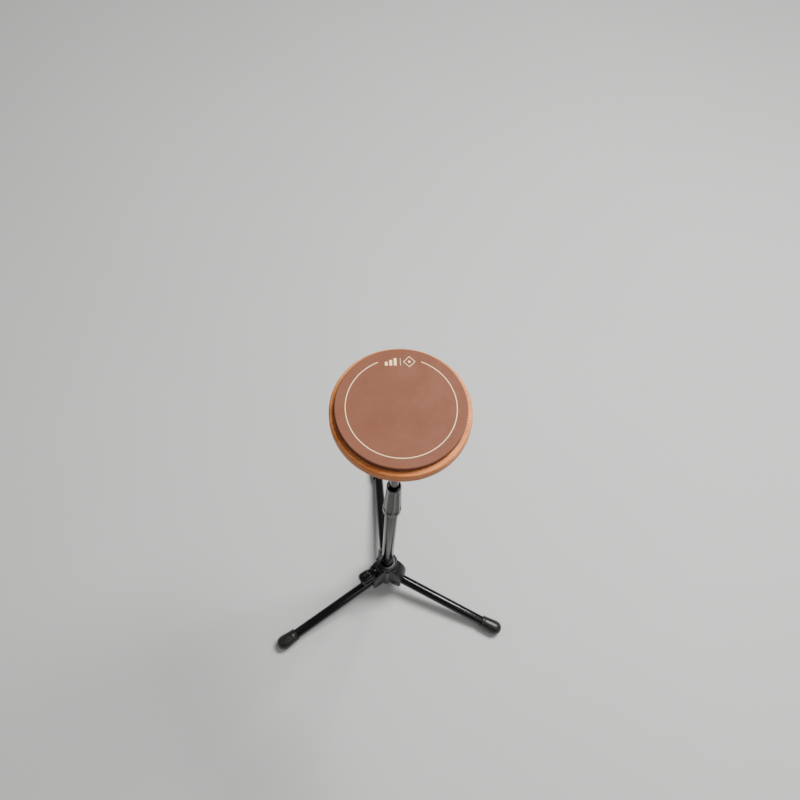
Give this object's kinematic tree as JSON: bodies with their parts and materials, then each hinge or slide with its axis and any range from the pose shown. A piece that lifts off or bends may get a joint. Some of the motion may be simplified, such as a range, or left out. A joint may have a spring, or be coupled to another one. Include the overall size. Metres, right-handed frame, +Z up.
{
  "type": "practice pad",
  "caption": "Round rubber-on-wood drum practice pad screwed onto a height-adjustable column with a twist clutch, on a folding three-legged stand.",
  "frame": {"origin": "middle of the floor area that the stand covers, at floor level", "axes": "+Z up along the column, +Y towards the back leg, +X to the right with the two other legs in front"},
  "size_m": [0.384, 0.3357, 0.665],
  "materials": {
    "brown_rubber": "satin, fine matte grain",
    "natural_wood": "clear satin lacquer",
    "black_rubber": "matte",
    "black_paint": "gloss",
    "black_cast": "satin, fine texture",
    "gloss_black_plastic": "gloss",
    "black_nylon": "matte",
    "bright_steel": "zinc plated",
    "brass": "machined"
  },
  "bodies": {
    "hub": {"hub": "black_cast", "hub_bush": "black_nylon", "pivot_pin_back": "black_cast", "pivot_pin_left": "black_cast", "pivot_pin_right": "black_cast"},
    "column": {"lower_tube": "black_paint", "spreader_plug": "black_nylon", "clutch_body": "black_nylon", "clutch_collet": "black_nylon"},
    "upper_column": {"upper_tube": "black_paint", "guide_plug": "black_nylon", "top_stud": "bright_steel", "pad_washer": "black_nylon"},
    "height_clutch": {"clutch_sleeve": "gloss_black_plastic"},
    "stud_nut": {"lock_nut": "bright_steel"},
    "pad": {"pad_base": "natural_wood", "playing_surface": "brown_rubber", "base_grip_ring": "black_rubber", "threaded_insert": "brass"},
    "hub_lock": {"lock_knob": "gloss_black_plastic", "clamp_screw": "bright_steel", "clamp_shoe": "brass"},
    "back_leg": {"leg_back": "black_paint", "heel_back": "black_nylon", "foot_back": "black_rubber"},
    "left_leg": {"leg_left": "black_paint", "heel_left": "black_nylon", "foot_left": "black_rubber"},
    "right_leg": {"leg_right": "black_paint", "heel_right": "black_nylon", "foot_right": "black_rubber"}
  },
  "joints": [
    {"name": "column_slide", "type": "slide", "parent": "hub", "child": "column", "axis": [0, 0, 1], "range_m": [0, 0.022]},
    {"name": "back_leg_fold", "type": "hinge", "parent": "hub", "child": "back_leg", "pos_m": [0, -0.02997, 0.0392], "axis": [-1, 0, 0], "range_deg": [0, 80]},
    {"name": "left_leg_fold", "type": "hinge", "parent": "hub", "child": "left_leg", "pos_m": [-0.01905, -0.06297, 0.0392], "axis": [0.5, -0.866, 0], "range_deg": [0, 80]},
    {"name": "right_leg_fold", "type": "hinge", "parent": "hub", "child": "right_leg", "pos_m": [0.01905, -0.06297, 0.0392], "axis": [0.5, 0.866, 0], "range_deg": [0, 80]},
    {"name": "height_slide", "type": "slide", "parent": "column", "child": "upper_column", "axis": [0, 0, 1], "range_m": [-0.18, 0.1]},
    {"name": "clutch_twist", "type": "hinge", "parent": "column", "child": "height_clutch", "pos_m": [0, -0.05197, 0.39], "axis": [0, 0, 1], "range_deg": [0, 180]},
    {"name": "stud_nut_turn", "type": "hinge", "parent": "upper_column", "child": "stud_nut", "pos_m": [0, -0.05197, 0.6325], "axis": [0, 0, 1], "range_deg": [0, 360]},
    {"name": "pad_turn", "type": "hinge", "parent": "upper_column", "child": "pad", "pos_m": [0, -0.05197, 0.64], "axis": [0, 0, 1], "continuous": true},
    {"name": "lock_knob_turn", "type": "hinge", "parent": "hub", "child": "hub_lock", "pos_m": [0, -0.05197, 0.08], "axis": [-0.866, -0.5, 0], "range_deg": [0, 540]}
  ],
  "couplings": [
    {"joint": "back_leg_fold", "follows": "column_slide", "rad_per_m": 63.4},
    {"joint": "left_leg_fold", "follows": "column_slide", "rad_per_m": 63.4},
    {"joint": "right_leg_fold", "follows": "column_slide", "rad_per_m": 63.4}
  ]
}
